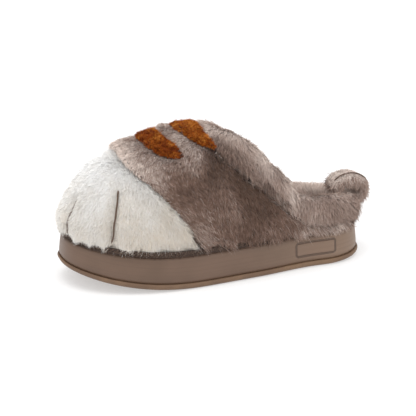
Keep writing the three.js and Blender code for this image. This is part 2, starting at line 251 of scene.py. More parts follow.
def sole_point(at, across, inset, height):
    """A point of the sole from its place along, from -1 to 1 across, and in from its edge."""
    ball = ball_outer if across > 0 else ball_inner
    full = (heel_half + (ball - heel_half) * along(ball_share, at)) * along(fullness, at)
    half = (full - inset) * opened(at, 0.17, 2.4) * opened(1 - at, 0.3, 2.54)
    x = (at - 0.5) * (sole_length - 2 * inset)
    lift = sole_lift(x, min(max(height / sole_height, 0), 1))
    return Vector((x, across * half, height + lift))


def sole_sheet(bm, inset, height):
    """A sheet over the whole plan of the sole, with all its rounded ends closed."""
    made = bmesh.ops.create_grid(bm, x_segments=stations, y_segments=strips, size=1)
    for vert in made["verts"]:
        vert.co = sole_point((1 - math.cos(math.pi * (vert.co.x + 1) / 2)) / 2, vert.co.y, inset, height)
    bmesh.ops.remove_doubles(bm, verts=made["verts"], dist=1e-7)


def sole_layer(name, rows):
    """A closed layer of the sole. rows hold its side from bottom to top, as (inset, height)."""
    bm = bmesh.new()
    sole_sheet(bm, *rows[0])
    edges = [edge for edge in bm.edges if edge.is_boundary]
    for before, now in zip(rows, rows[1:]):
        made = bmesh.ops.extrude_edge_only(bm, edges=edges)["geom"]
        for vert in (part for part in made if isinstance(part, bmesh.types.BMVert)):
            at = vert.co.x / (sole_length - 2 * before[0]) + 0.5
            side = 0 if abs(vert.co.y) < 1e-7 else math.copysign(1, vert.co.y)
            vert.co = sole_point(at, side, *now)
        edges = [part for part in made if isinstance(part, bmesh.types.BMEdge) and part.is_boundary]
    sole_sheet(bm, *rows[-1])
    bmesh.ops.remove_doubles(bm, verts=bm.verts, dist=1e-6)
    bmesh.ops.recalc_face_normals(bm, faces=bm.faces)
    return bm


def finished(name, bm, look):
    """The piece's object, smooth except at its sharp edges, riding with the slipper."""
    piece = bpy.data.objects.new(name, bpy.data.meshes.new(name))
    bm.to_mesh(piece.data)
    bm.free()
    piece.data.polygons.foreach_set("use_smooth", [True] * len(piece.data.polygons))
    piece.data.set_sharp_from_angle(angle=math.radians(sharp_bend))
    piece.data.materials.append(look)
    scene.collection.objects.link(piece)
    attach(piece, "root")
    return piece


def finer(side, count, height):
    """A side profile at more places, in metres, from rows of (place, inset in mm, share of height)."""
    insets = [(row[0], row[1] / 1000) for row in side]
    heights = [(row[0], row[2] * height) for row in side]
    return [(along(insets, i / count), along(heights, i / count)) for i in range(count + 1)]


rubber, shader, link = material("tan_rubber", 0.62)
where = link.node("ShaderNodeTexCoord", {}, {}, output="Object")
cloud = noise(link, where, 35, 4)
speck = noise(link, where, 900, 2)
tan = mix(link, cloud.between(0.3, 0.7), paint("#664d3a"), paint("#7c6149"))
feed(shader, "Base Color", mix(link, speck.between(0.5, 0.8) * 0.35, tan, paint("#5c4534")))
feed(shader, "Roughness", cloud * 0.2 + 0.52)
feed(shader, "Normal", link.node("ShaderNodeBump", {}, {"Height": speck, "Distance": 0.00008}))

bm = sole_layer("outsole", finer(outsole_side, 9, outsole_height))
grooves = []
for low, high in groove_zones:
    x = low * sole_length
    while x < high * sole_length:
        grooves.append(x)
        x += groove_pitch
cuts = [((x + side * groove_width / 2, 0, 0), (1, 0, 0)) for x in grooves for side in (-1, 1)]
cuts += [((0, side * groove_reach, 0), (0, 1, 0)) for side in (-1, 1)]
for place, across in cuts:
    parts = list(bm.verts) + list(bm.edges) + list(bm.faces)
    bmesh.ops.bisect_plane(bm, geom=parts, plane_co=place, plane_no=across)
sunk = []
for face in bm.faces:
    middle = face.calc_center_median()
    under = middle.z < sole_lift(middle.x, 0) + 0.0005 and abs(middle.y) < groove_reach
    if under and any(abs(middle.x - x) < groove_width / 2 for x in grooves):
        sunk.append(face)
made = bmesh.ops.extrude_face_region(bm, geom=sunk)["geom"]
raised = [part for part in made if isinstance(part, bmesh.types.BMVert)]
bmesh.ops.translate(bm, verts=raised, vec=(0, 0, groove_depth))
bmesh.ops.delete(bm, geom=[face for face in sunk if face.is_valid], context="FACES_KEEP_BOUNDARY")
bmesh.ops.recalc_face_normals(bm, faces=bm.faces)
outsole = finished("outsole_rubber", bm, rubber)
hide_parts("outsole")


# Midsole. The thick foam cup that the foot stands in, moulded in one with its raised rim and glued
# down on the outsole. Its outer heel has a bare plate with an engraved outline.
midsole_side = [
    (0.0, 2.2, 0.2),
    (0.12, 1.5, 0.28),
    (0.38, 1.9, 0.5),
    (0.78, 3.2, 0.88),
    (0.92, 4.6, 0.98),
    (1.0, 6.2, 1.0),
]
rim_width = 0.0125
footbed = 0.018
plate_middle = (-0.0806, 0.0165)
plate_half = (0.0185, 0.0058)
plate_corner = 0.0022
plate_line = 0.0008

foam, shader, link = material("brown_foam", 0.5)
where = link.node("ShaderNodeTexCoord", {}, {}, output="Object")
x, y, z = (link.node("ShaderNodeSeparateXYZ", {}, {0: where}, output=i) for i in range(3))
toe_share = (x / sole_length - 0.1).most(0) / 0.4
height = z - toe_share * toe_share * ((toe_lift_under + toe_lift_rim) / 2)
layers = link.node("ShaderNodeCombineXYZ", {}, {0: x * 6, 1: y * 6, 2: height * 900})
streak = link.node("ShaderNodeTexNoise", {}, {"Vector": layers, "Scale": 1, "Detail": 3})
cloud = noise(link, where, 22, 3)
grain = noise(link, where, 1600, 2)
out_x = (abs(x - plate_middle[0]) - (plate_half[0] - plate_corner)).most(0)
out_z = (abs(height - plate_middle[1]) - (plate_half[1] - plate_corner)).most(0)
from_corner = (out_x * out_x + out_z * out_z) ** 0.5 - plate_corner
line = (1 - abs(from_corner).between(plate_line * 0.5, plate_line * 1.5)) * y.between(0.0, 0.01)
inside = (1 - from_corner.between(-plate_line, 0)) * y.between(0.0, 0.01)
base = mix(link, cloud.between(0.3, 0.7), paint("#5f4939"), paint("#6a5242"))
base = mix(link, (0 - x).between(0.0, 0.12) * 0.8, base, paint("#836b58"))
base = mix(link, streak.between(0.35, 0.75) * 0.25, base, paint("#574336"))
base = mix(link, inside * 0.25, base, paint("#7d6555"))
# The engraved outline is painted dark, as painted shade in its groove, over a shallow bump dent.
base = mix(link, line * 0.8, base, paint("#4a372c"))
feed(shader, "Base Color", base)
feed(shader, "Roughness", streak * 0.16 + 0.38)
depth = streak * 0.00012 + grain * 0.00003 - line * 0.0007
feed(shader, "Normal", link.node("ShaderNodeBump", {}, {"Height": depth, "Distance": 1.0}))

inner_wall = [(0.0095, sole_height), (0.0118, sole_height - 0.0001), (rim_width, sole_height - 0.0008)]
rows = finer(midsole_side, 16, sole_height) + inner_wall + [(rim_width, footbed)]
midsole = finished("midsole_foam", sole_layer("midsole", rows), foam)
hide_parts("midsole")


# Insole. A flat foam pad covered in short plush that the foot stands on, cut a little smaller than
# the cup and laid on its footbed.
insole_edge = 0.0128
insole_side = [(0.0, 0.0183), (0.0, 0.0225), (0.0005, 0.0237), (0.0018, 0.0245)]
plush, shader, link = material("insole_plush", 0.95, 0.3)
where = link.node("ShaderNodeTexCoord", {}, {}, output="Object")
tuft = link.node("ShaderNodeTexVoronoi", {}, {"Vector": where, "Scale": 420.0})
cloud = noise(link, where, 60, 4)
base = mix(link, cloud.between(0.3, 0.7), paint("#8b7a70"), paint("#b3a298"))
# The plush is painted darker between its tufts, as painted shade in the hollows there.
feed(shader, "Base Color", mix(link, tuft.between(0.2, 0.7) * 0.6, base, paint("#55453d")))
pile = (1 - tuft) * 0.0012 + cloud * 0.002
feed(shader, "Normal", link.node("ShaderNodeBump", {}, {"Height": pile, "Distance": 1.0}))

rows = [(insole_edge + inset, height) for inset, height in insole_side]
insole = finished("insole_pad", sole_layer("insole", rows), plush)
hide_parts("insole")


# Upper. Grey-brown plush on a padded shell with a short plush lining, cut to end in a puffed edge
# over the white toes. The pile is dark at the root and pale at the tip, combed down to the rim.
random = np.random.default_rng(11)
voxel = 0.0022
past_own = 0.0012
axis_low = -0.1
axis_high = 0.085
axis_height = 0.045
cap_foot = 0.024
cap_run = 0.086
cap_even = 0.53
cap_low = 0.0275
crown = 0.127
hem_height = 0.042
grey_sides = (("outer", 1, 98000), ("inner", -1, 62000))
grey_clear = 0.001
grey_sunk = 0.0034
grey_root = 0.0032
grey_length = 0.0076
grey_width = 0.00023
collar_crease = [
    (0.0063, 0.0272, 0.1175),
    (-0.0103, 0.0415, 0.1073),
    (-0.026, 0.0449, 0.0942),
    (-0.0345, 0.0441, 0.0776),
    (-0.0502, 0.0435, 0.059),
]
upper_valley = [
    (0.0077, 0.037, 0.1048),
    (-0.0022, 0.0398, 0.0979),
    (-0.0103, 0.0421, 0.0891),
    (-0.0248, 0.0432, 0.0793),
    (-0.0349, 0.0464, 0.0615),
]
lower_valley = [(0.0085, 0.045, 0.0917), (0.0001, 0.0463, 0.0855), (-0.0168, 0.0491, 0.0623)]
front_valley = [
    (0.0091, 0.0416, 0.0986),
    (0.0151, 0.047, 0.0898),
    (0.0263, 0.0501, 0.0843),
    (0.0368, 0.0516, 0.0816),
]
fold_ridge = [
    (0.0058, 0.0443, 0.0924),
    (0.0018, 0.0477, 0.082),
    (-0.0016, 0.0502, 0.0706),
    (-0.0038, 0.0516, 0.0581),
]
stripe_ridge = [(0.0415, 0.0074, 0.121), (0.029, 0.033, 0.1115), (0.0246, 0.0383, 0.1055)]
lip_ridge = [(0.075, 0.0, 0.1095), (0.0715, 0.018, 0.107), (0.063, 0.033, 0.102), (0.052, 0.046, 0.088)]


def unit(rows):
    return rows / np.maximum(np.linalg.norm(rows, axis=1, keepdims=True), 1e-12)


def smooth(low, high, value):
    t = np.clip((value - low) / (high - low), 0, 1)
    return t * t * (3 - 2 * t)


def bell(distance, width):
    """1 where the distance is nothing, and close to 0 from twice the width."""
    return np.exp(-((distance / width) ** 2))


def patches(points, size, seed):
    """Soft patches from about -1 to 1, of about the given size, from waves laid across each other."""
    own = np.random.default_rng(seed)
    total = np.zeros(len(points))
    for i in range(7):
        heading = unit(own.normal(size=(1, 3)))[0] * own.uniform(0.7, 1.4) * 2 * math.pi / size
        total += np.sin(points @ heading + own.uniform(0, 2 * math.pi))
    return total / 2.6


def from_hollow(points):
    """Unit vectors that point out from the line through the middle of the foot's hollow."""
    along_axis = np.clip(points[:, 0], axis_low, axis_high)
    axis = np.column_stack((along_axis, np.zeros(len(points)), np.full(len(points), axis_height)))
    return unit(points - axis)


def from_line(points, line, mirrored=True):
    """How far each point is from a line of points or, if mirrored, from its image on the inner side."""
    best = np.full(len(points), 1e9)
    folded = points * (1, 0, 1) + abs(points) * (0, 1, 0) if mirrored else points
    for a, b in zip(line, line[1:]):
        a, b = np.array(a), np.array(b)
        share = np.clip((folded - a) @ (b - a) / ((b - a) @ (b - a)), 0, 1)
        best = np.minimum(best, np.linalg.norm(folded - (a + share[:, None] * (b - a)), axis=1))
    return best


def numbers(items, name, width, kind=float):
    flat = np.empty(len(items) * width, kind)
    items.foreach_get(name, flat)
    return flat.reshape(-1, width)


def even_shape(node, creases=()):
    """A CAD piece's shape in small even faces, with soft troughs along the creases, or ridges where
    a crease's depth is below zero. A crease is a line, its width, its depth, and if it is mirrored."""
    bm = bmesh.new()
    bm.from_mesh(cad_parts[node].data)
    bmesh.ops.remove_doubles(bm, verts=bm.verts, dist=1e-6)
    rough = bpy.data.objects.new("rough", bpy.data.meshes.new("rough"))
    bm.to_mesh(rough.data)
    bm.free()
    scene.collection.objects.link(rough)
    remesh = rough.modifiers.new("even", "REMESH")
    remesh.mode = "VOXEL"
    remesh.voxel_size = voxel
    ready = rough.evaluated_get(bpy.context.evaluated_depsgraph_get())
    bm = bmesh.new()
    bm.from_mesh(ready.to_mesh())
    bpy.data.objects.remove(rough)
    for i in range(4):
        bmesh.ops.smooth_vert(
            bm, verts=bm.verts, factor=0.5, use_axis_x=True, use_axis_y=True, use_axis_z=True
        )
    mesh = bpy.data.meshes.new(node)
    bm.to_mesh(mesh)
    bm.free()
    points = numbers(mesh.vertices, "co", 3)
    normals = numbers(mesh.vertices, "normal", 3)
    outer = np.sum(normals * from_hollow(points), axis=1) > 0
    for line, width, depth, mirrored in creases:
        share = bell(from_line(points, line, mirrored), width)
        points -= normals * (outer * depth * share)[:, None]
    mesh.vertices.foreach_set("co", points.ravel())
    mesh.update()
    return mesh


def backing(name, shape, look, pile, lining=None):
    """The cloth under the pile: the even shape with its outside sunk by the depth of the pile. A
    shape with a lining keeps its inside where it is."""
    piece = bpy.data.objects.new(name, shape.copy())
    mesh = piece.data
    mesh.materials.append(look)
    points = numbers(mesh.vertices, "co", 3)
    normals = numbers(mesh.vertices, "normal", 3)
    outside = np.ones(len(points))
    if lining:
        outside = smooth(0.0, 0.5, np.sum(normals * from_hollow(points), axis=1))
        mesh.materials.append(lining)
        middles = numbers(mesh.polygons, "center", 3)
        inner = np.sum(numbers(mesh.polygons, "normal", 3) * from_hollow(middles), axis=1) < 0
        mesh.polygons.foreach_set("material_index", inner.astype(np.int32))
    points -= normals * (pile * outside)[:, None]
    mesh.vertices.foreach_set("co", points.ravel())
    mesh.polygons.foreach_set("use_smooth", [True] * len(mesh.polygons))
    mesh.update()
    scene.collection.objects.link(piece)
    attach(piece, "root")
    return piece


corners, triangles = [], []
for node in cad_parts.values():
    node.data.calc_loop_triangles()
    start = len(corners)
    corners.extend(vert.co[:] for vert in node.data.vertices)
    triangles.extend(tuple(start + i for i in tri.vertices) for tri in node.data.loop_triangles)
solid_tree = BVHTree.FromPolygons(corners, triangles)


def roots(shape, count, side=0, hollow=True, clear=0.0018):
    """Points spread evenly over the part of a shape that shows, and which way is out at each."""
    shape.calc_loop_triangles()
    points = numbers(shape.vertices, "co", 3)
    normals = numbers(shape.vertices, "normal", 3)
    tris = numbers(shape.loop_triangles, "vertices", 3, np.int32)
    a, b, c = points[tris[:, 0]], points[tris[:, 1]], points[tris[:, 2]]
    area = np.linalg.norm(np.cross(b - a, c - a), axis=1)
    middle = (a + b + c) / 3
    facing = unit(normals[tris].sum(axis=1))
    area *= middle[:, 1] * side >= 0
    if hollow:
        area *= np.sum(facing * from_hollow(middle), axis=1) > 0.15
    for i in np.flatnonzero(area):
        way = Vector(facing[i])
        place, normal = solid_tree.ray_cast(Vector(middle[i]) + way * past_own, way, clear)[:2]
        if place and normal.dot(way) > 0:
            place = solid_tree.ray_cast(place + way * 0.0001, way, clear)[0]
        if place:
            area[i] = 0
    picked = random.choice(len(tris), count, p=area / area.sum())
    u, v = random.random(count), random.random(count)
    over = u + v > 1
    u[over], v[over] = 1 - u[over], 1 - v[over]
    w = (1 - u - v)[:, None]
    u, v = u[:, None], v[:, None]
    pick = tris[picked]
    at = points[pick[:, 0]] * w + points[pick[:, 1]] * u + points[pick[:, 2]] * v
    out = unit(normals[pick[:, 0]] * w + normals[pick[:, 1]] * u + normals[pick[:, 2]] * v)
    return at, out


def pile_of(name, look, at, out, flow, tone, length, rise, width, depth, clump, tuft, wild, stray=0.04):
    """Strands of pile as one mesh: leaf-shaped blades with a bend, rooted at depth under the surface.
    rise is how steeply they stand, clump how far the tips of a tuft draw together, wild how far each
    leaves the comb of the rest, and stray the share that stands loose from it."""
    count = len(at)
    loose = random.random(count) < stray
    rise = np.where(loose, 0.85, np.clip(rise, 0.03, 0.95))[:, None]
    length = np.where(loose, length * 1.2, length)
    half_width = np.where(loose, width * 0.55, width)[:, None]
    comb = unit(flow)
    flow = unit(flow - out * np.sum(flow * out, axis=1, keepdims=True))
    lie = np.sqrt(1 - rise**2)
    first = unit(out * rise + flow * lie + random.normal(size=(count, 3)) * wild)
    second = unit(out * rise * 0.35 + flow * lie + comb * 0.35 + random.normal(size=(count, 3)) * wild * 1.5)
    root = at - out * depth
    middle = root + first * (length * 0.45)[:, None]
    tip = middle + second * (length * 0.55)[:, None]
    centres = random.choice(count, max(count // tuft, 1), replace=False)
    tree = KDTree(len(centres))
    for i, centre in enumerate(centres):
        tree.insert(root[centre], i)
    tree.balance()
    own = centres[[tree.find(place)[1] for place in root]]
    pull = (clump * random.uniform(0.4, 1.0, count) * (1 - loose))[:, None]
    middle += (middle[own] - middle) * pull * 0.35
    tip += (tip[own] - tip) * pull
    across = unit(np.cross(tip - root, out + random.normal(size=(count, 3)) * 0.45)) * half_width
    verts = np.stack((root, middle + across, middle - across, tip), axis=1)
    start = np.arange(count)[:, None] * 4
    piece = bpy.data.objects.new(name, bpy.data.meshes.new(name))
    mesh = piece.data
    mesh.vertices.add(count * 4)
    mesh.vertices.foreach_set("co", verts.ravel())
    mesh.loops.add(count * 6)
    mesh.loops.foreach_set("vertex_index", (start + np.array([[0, 1, 2, 2, 1, 3]])).ravel())
    mesh.polygons.add(count * 2)
    mesh.polygons.foreach_set("loop_start", np.arange(count * 2) * 3)
    mesh.polygons.foreach_set("use_smooth", [True] * (count * 2))
    u = np.clip(tone, 0.02, 0.98)[:, None] + np.array([[0, -1, 1, 1, -1, 0]]) * 0.012
    v = np.tile([[0.02, 0.45, 0.45, 0.45, 0.45, 0.98]], (count, 1))
    uv = mesh.uv_layers.new(name="OFBake")
    uv.data.foreach_set("uv", np.stack((u, v), axis=2).ravel())
    mesh.update()
    mesh.materials.append(look)
    scene.collection.objects.link(piece)
    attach(piece, "root")
    return piece


def pile_look(name, root, dark, mid, light, sheen=0.25):
    """Pile that is darkest at the root, partly its own colour and partly painted shade deep in the pile.
    Each strand's tone runs from dark through mid to light.
    """
    made, shader, link = material(name, 0.85, sheen)
    place = link.node("ShaderNodeUVMap", {"uv_map": "OFBake"}, {})
    tone = link.node("ShaderNodeSeparateXYZ", {}, {0: place}, output=0)
    up = link.node("ShaderNodeSeparateXYZ", {}, {0: place}, output=1)
    stops = [(0.0, paint(dark)), (0.5, paint(mid)), (1.0, paint(light))]
    tips = link.node("ShaderNodeValToRGB", {"stops": stops}, {0: tone})
    # Own colour and painted shade: each strand darkens from its tip down to its root.
    foot = mix(link, tone.between(0.35, 1.0) * 0.6, paint(root), tips)
    feed(shader, "Base Color", mix(link, up.between(0.0, 0.75), foot, tips))
    shader.inputs["Specular IOR Level"].default_value = 0.2
    feed(shader, "Roughness", 0.95 - up * 0.25)
    return made


def cloth_look(name, dark, light):
    """The knitted backing that shows between strands."""
    made, shader, link = material(name, 0.95)
    where = link.node("ShaderNodeTexCoord", {}, {}, output="Object")
    knit = noise(link, where, 700, 3)
    feed(shader, "Base Color", mix(link, knit.between(0.3, 0.7), paint(dark), paint(light)))
    feed(shader, "Normal", link.node("ShaderNodeBump", {}, {"Height": knit, "Distance": 0.0006}))
    return made


def cap_edge(z):
    """How far forward the grey reaches at a height, where the white of the toes begins."""
    share = (z - cap_low) / (crown - cap_low)
    return cap_foot + cap_run * (cap_even * share + (1 - cap_even) * share**2)


grey_cloth = cloth_look("grey_backing", "#3a2d26", "#54443a")
grey_pile = pile_look("grey_pile", "#30221b", "#574134", "#8c7062", "#ebdcd2")
folds = [
    (upper_valley, 0.009, 0.0028, True),
    (lower_valley, 0.007, 0.003, True),
    (front_valley, 0.008, 0.0028, True),
    (fold_ridge, 0.006, -0.0025, True),
    (stripe_ridge, 0.006, -0.003, True),
    (lip_ridge, 0.007, -0.001, True),
]
upper_shape = even_shape("upper", folds)
upper = backing("upper_shell", upper_shape, grey_cloth, grey_sunk, plush)
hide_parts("upper")

for name, side, count in grey_sides:
    at, out = roots(upper_shape, count, side, clear=grey_clear)
    x, y, z = at.T
    behind = cap_edge(z) - x
    high = smooth(0.085, 0.113, z)
    low = 1 - smooth(0.045, 0.085, z)
    hem = 1 - smooth(hem_height - 0.008, hem_height + 0.006, z)
    heel = 1 - smooth(-0.085, -0.045, x)
    lip = bell(behind, 0.02) * high
    beside = bell(behind, 0.022) * (1 - high)
    ridge_highlight = bell(from_line(at, stripe_ridge), 0.007) + 0.8 * bell(from_line(at, fold_ridge), 0.006)
    valley_shade = bell(from_line(at, upper_valley), 0.011)
    valley_shade += 0.6 * bell(from_line(at, lower_valley), 0.009)
    valley_shade += 0.6 * bell(from_line(at, front_valley), 0.01)
    worn = patches(at, 0.032, 5)
    fleck = patches(at, 0.007, 6)
    forward = -0.3 - 0.7 * beside + 0.7 * high + 0.5 * lip + 0.2 * patches(at, 0.05, 3)
    sideways = 9 * y * high + 0.3 * patches(at, 0.04, 4)
    flow = np.column_stack((forward, sideways, 0.5 * high - 1))
    # Painted light: the pile is lighter on the puffed lip and over the top, as the light from above falls,
    # with a painted highlight along the ridges and painted shade in the valleys. It is also paler towards
    # the heel and beside the white.
    tone = 0.38 + 0.68 * lip + 0.2 * high + 0.13 * ridge_highlight + 0.34 * heel + 0.14 * beside - 0.28 * valley_shade
    tone += 0.07 * worn + 0.04 * fleck + random.normal(size=count) * 0.12
    length = grey_length + 0.0022 * low - 0.0022 * high * (1 - lip)
    length *= random.uniform(0.6, 1.15, count) * (1 + 0.22 * hem) * (1 - 0.12 * beside)
    fur = pile_of(
        "grey_pile_" + name,
        grey_pile,
        at,
        out,
        flow,
        tone,
        length,
        rise=0.68 + 0.1 * worn + 0.12 * fleck - 0.32 * low - 0.1 * high - 0.1 * hem,
        width=grey_width,
        depth=grey_root,
        clump=0.16 + 0.3 * low,
        tuft=12,
        wild=0.2,
    )


# Toe cap. White plush over the toes, under the edge of the grey, with short dark seams sewn through
# it that draw it in between the four toes.
outer_seam = [
    (0.0978, 0.0445, 0.0415),
    (0.0971, 0.0451, 0.0543),
    (0.0955, 0.0446, 0.0665),
    (0.0932, 0.0417, 0.0778),
    (0.0913, 0.0377, 0.0846),
]
crease_end = (0.0906, 0.03, 0.0923)
middle_seam = [(0.13, 0.016, 0.0415), (0.129, 0.0155, 0.052), (0.1265, 0.0145, 0.062), (0.121, 0.013, 0.074)]
seam_radius = 0.0007
seam_proud = 0.0013
middle_seam_proud = 0.0003
seam_steps = 24
white_sides = (("outer", 1, 88000), ("inner", -1, 50000))
white_sunk = 0.0024
white_root = 0.0026
white_length = 0.0062
white_width = 0.0002

white_cloth = cloth_look("white_backing", "#d3cabd", "#e6dfd4")
white_pile = pile_look("white_pile", "#d3cbc1", "#e6d9c8", "#eeeae4", "#fdfdfd", 0.25)
thread, shader, link = material("brown_thread", 0.7)
where = link.node("ShaderNodeTexCoord", {}, {}, output="Object")
twist = link.node("ShaderNodeTexWave", {"bands_direction": "DIAGONAL"}, {"Vector": where, "Scale": 900.0})
feed(shader, "Base Color", mix(link, twist, paint("#33241b"), paint("#6b5343")))

inner_seam = [(x, -y, z) for x, y, z in outer_seam]
cap_creases = [(outer_seam + [crease_end], 0.0055, 0.0024, True), (middle_seam, 0.006, 0.003, False)]
cap_shape = even_shape("toe_cap", cap_creases)
cap = backing("toe_cap_shell", cap_shape, white_cloth, white_sunk, plush)
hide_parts("toe_cap")

cap_top = np.array([0.06, 0.0, 0.1])
for name, side, count in white_sides:
    at, out = roots(cap_shape, count, side)
    x, z = at[:, 0], at[:, 2]
    near = from_line(at, outer_seam)
    drawn = np.minimum(near, from_line(at, middle_seam, False))
    apart = np.sign(x - outer_seam[1][0]) * bell(near, 0.005)
    hem = 1 - smooth(hem_height - 0.004, hem_height + 0.012, z)
    cream = 1 - smooth(0.07, 0.125, x)
    tucked = bell(x - cap_edge(z), 0.009) * (1 - hem)
    flow = unit(at - cap_top) + np.array([0, 0, -0.35]) + apart[:, None] * (0.6, 0, 0)
    # Painted light: the white is lighter at the top and darker low down, as the light from above falls, and
    # painted shade darkens it along the creases of the seams. It is also darker and creamier towards the
    # back.
    tone = 0.76 - 0.18 * cream + 0.24 * smooth(0.078, 0.1, z) - 0.25 * (1 - smooth(0.045, 0.085, z))
    tone += 0.06 * patches(at, 0.02, 7) - 0.16 * bell(drawn, 0.006)
    tone += random.normal(size=count) * 0.12
    length = white_length * random.uniform(0.7, 1.15, count) * (1 - 0.55 * bell(near, 0.0022))
    length *= 1 + 0.05 * hem + 0.4 * hem * cream + 0.45 * tucked
    fur = pile_of(
        "white_pile_" + name,
        white_pile,
        at,
        out,
        flow,
        tone,
        length,
        rise=0.56 + 0.1 * patches(at, 0.015, 8) - 0.2 * hem - 0.1 * hem * cream + 0.5 * tucked,
        width=white_width,
        depth=white_root,
        clump=0.12,
        tuft=6,
        wild=0.2,
    )


def round_thread(bm, path, radius, sides=8):
    """A round thread along a path of points, drawn to a point at both ends."""
    made = bmesh.ops.create_grid(bm, x_segments=len(path) - 1, y_segments=sides, size=1)["verts"]
    last = len(path) - 1
    for vert in made:
        i = round((vert.co.x + 1) / 2 * last)
        turn = (vert.co.y + 1) * math.pi
        way = (path[min(i + 1, last)] - path[max(i - 1, 0)]).to_track_quat("X", "Z")
        thick = radius if 0 < i < last else 0
        vert.co = path[i] + way @ Vector((0, math.cos(turn), math.sin(turn))) * thick
    bmesh.ops.remove_doubles(bm, verts=made, dist=1e-6)


cap_points = [vert.co[:] for vert in cap_shape.vertices]
cap_tree = BVHTree.FromPolygons(cap_points, [face.vertices[:] for face in cap_shape.polygons])
bm = bmesh.new()
for line, proud in ((outer_seam, seam_proud), (middle_seam, middle_seam_proud), (inner_seam, seam_proud)):
    path = []
    for i in range(seam_steps + 1):
        spot = [along(list(enumerate(values)), i / seam_steps * (len(line) - 1)) for values in zip(*line)]
        ahead = Vector(from_hollow(np.array([spot]))[0])
        place, normal = cap_tree.find_nearest(Vector(spot) + ahead * 0.003)[:2]
        path.append(place + normal * proud)
    for i in range(4):
        path = [path[0]] + [(a + b * 2 + c) / 4 for a, b, c in zip(path, path[1:], path[2:])] + [path[-1]]
    round_thread(bm, path, seam_radius)
bmesh.ops.recalc_face_normals(bm, faces=bm.faces)
seams = finished("toe_seams", bm, thread)


# Stripes. Two ovals of shorter, curlier ginger plush let into the grey across the instep and sewn
# down round the edge, so that their pile meets the grey pile.
ginger_count = 15000
ginger_sunk = 0.003
ginger_root = 0.0028
ginger_length = 0.0058
ginger_width = 0.00028

ginger_cloth = cloth_look("ginger_backing", "#2a0f03", "#4a1f07")
ginger_pile = pile_look("ginger_pile", "#2c0e02", "#6e2a02", "#a04e06", "#dc9540", 0.0)
for node, pale in (("stripe_front", 0.22), ("stripe_rear", 0.33)):
    shape = even_shape(node)
    piece = backing(node + "_shell", shape, ginger_cloth, ginger_sunk)
    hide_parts(node)
    at, out = roots(shape, ginger_count)
    shade = patches(at, 0.007, 8)
    fur = pile_of(
        node + "_pile",
        ginger_pile,
        at,
        out,
        random.normal(size=at.shape) * 0.6 + np.array([-0.3, 0, -0.5]),
        # Painted light: each stripe is lighter along its top, as the light from above falls.
        tone=pale + 0.18 * smooth(0.108, 0.12, at[:, 2]) + 0.2 * shade + random.normal(size=len(at)) * 0.18,
        length=ginger_length * random.uniform(0.6, 1.2, len(at)),
        rise=0.62 + 0.15 * shade,
        width=ginger_width,
        depth=ginger_root,
        clump=0.6,
        tuft=24,
        wild=0.34,
    )


# Collar. A stuffed plush roll sewn round the mouth, its pile paler than the upper's and combed
# outwards over the roll.
mouth_low = -0.095
mouth_high = -0.018
collar_count = 80000
collar_sunk = 0.0036
collar_root = 0.0034
collar_length = 0.0079
collar_width = 0.00025

collar_cloth = cloth_look("collar_backing", "#66544a", "#7d695e")
collar_pile = pile_look("collar_pile", "#78635a", "#6a5347", "#b39c90", "#eee1d8")
shape = even_shape("collar", [(collar_crease, 0.005, 0.0042, True)])
collar = backing("collar_roll", shape, collar_cloth, collar_sunk)
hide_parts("collar")

at, out = roots(shape, collar_count, hollow=False)
mouth = np.clip(at[:, 0], mouth_low, mouth_high)
away = unit(np.column_stack((at[:, 0] - mouth, at[:, 1], np.zeros(len(at)))))
outside = smooth(-0.5, 0.7, np.sum(out * away, axis=1))
flow = away * 0.8 + np.outer(0.5 - 1.5 * outside, (0, 0, 1)) + np.outer(patches(at, 0.04, 4), (0.25, 0.2, 0))
back = 1 - smooth(-0.105, -0.03, at[:, 0])
foot = 1 - smooth(0.038, 0.056, at[:, 2])
hang = (1 - smooth(-0.2, 0.4, out[:, 2])) * outside
crease_x, crease_z = zip(*((x, z) for x, y, z in collar_crease[::-1]))
crease_at = np.interp(at[:, 0], (-0.1, *crease_x, 0.018), (-0.01, *crease_z, 0.108))
# under and sunk mark the pile below the crease of the roll and in it, which the tone darkens as painted
# shade.
under = smooth(-0.002, 0.007, crease_at - at[:, 2]) * smooth(0.015, 0.03, abs(at[:, 1]))
sunk = bell(from_line(at, collar_crease), 0.005)
# Painted light: painted shade darkens the pile below the crease and in it, and a painted highlight lightens
# the crest of the roll. The pile is also darker on the outer side towards the heel, and towards the front.
tone = 0.7 - 0.3 * back * outside - 0.1 * smooth(-0.02, 0.01, at[:, 0]) - 0.46 * under - 0.36 * sunk
tone += 0.08 * patches(at, 0.03, 10) + 0.3 * outside * (1 - outside)
tone += random.normal(size=len(at)) * 0.09
length = 0.72 + 0.28 * outside + 0.35 * hang + 0.5 * back * foot - 0.4 * sunk
length *= collar_length * random.uniform(0.65, 1.15, len(at))
fur = pile_of(
    "collar_pile",
    collar_pile,
    at,
    out,
    flow,
    tone,
    length,
    rise=0.25 + 0.33 * outside + 0.1 * patches(at, 0.02, 9) - 0.25 * hang,
    width=collar_width,
    depth=collar_root,
    clump=0.2,
    tuft=12,
    wild=0.2,
)


# Pull loop. A short band of the collar's plush, folded double with a seam near its edge, sewn into
# an arch behind the collar like a tail.
loop_middle = (-0.1244, 0.055)
loop_radii = (0.0175, 0.014)
loop_seam_side = 0.0066
loop_seam_turns = (35, 215)
loop_seam_proud = 0.0006
loop_seam_radius = 0.0006
loop_count = 14000
loop_clear = 0.0015
loop_sunk = 0.001
loop_root = 0.0012
loop_length = 0.0036
loop_width = 0.00022

shape = even_shape("pull_loop")
loop = backing("pull_loop_band", shape, collar_cloth, loop_sunk)
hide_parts("pull_loop")
at, out = roots(shape, loop_count, hollow=False, clear=loop_clear)
